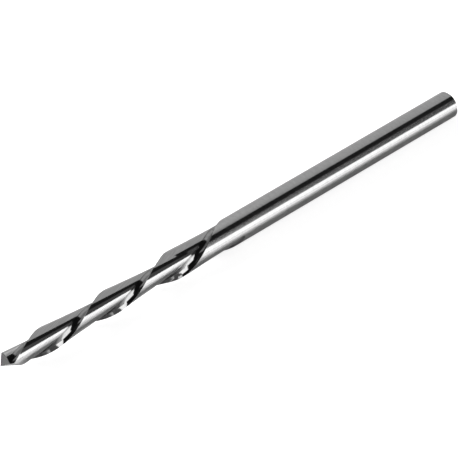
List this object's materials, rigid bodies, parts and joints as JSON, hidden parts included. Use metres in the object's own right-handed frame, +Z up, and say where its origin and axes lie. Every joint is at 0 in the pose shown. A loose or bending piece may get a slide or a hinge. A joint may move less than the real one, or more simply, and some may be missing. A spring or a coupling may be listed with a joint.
{
  "type": "spiral cut-out bit",
  "caption": "Slim steel bit with two left-hand spiral flutes, relieved lands, a sharp faceted point and a plain round shank for a collet.",
  "frame": {"origin": "centre of the bounding box on the bench that the bit lies on, so the bit's axis runs along X at z = 1.5875 mm", "axes": "X runs along the bit from the point towards the shank end, Z is up from the bench, Y is across it"},
  "size_m": [0.0636, 0.0032, 0.0032],
  "materials": {
    "bit_steel": "bright ground, with fine grinding marks"
  },
  "bodies": {
    "root": {"spiral_bit": "bit_steel"}
  },
  "joints": []
}
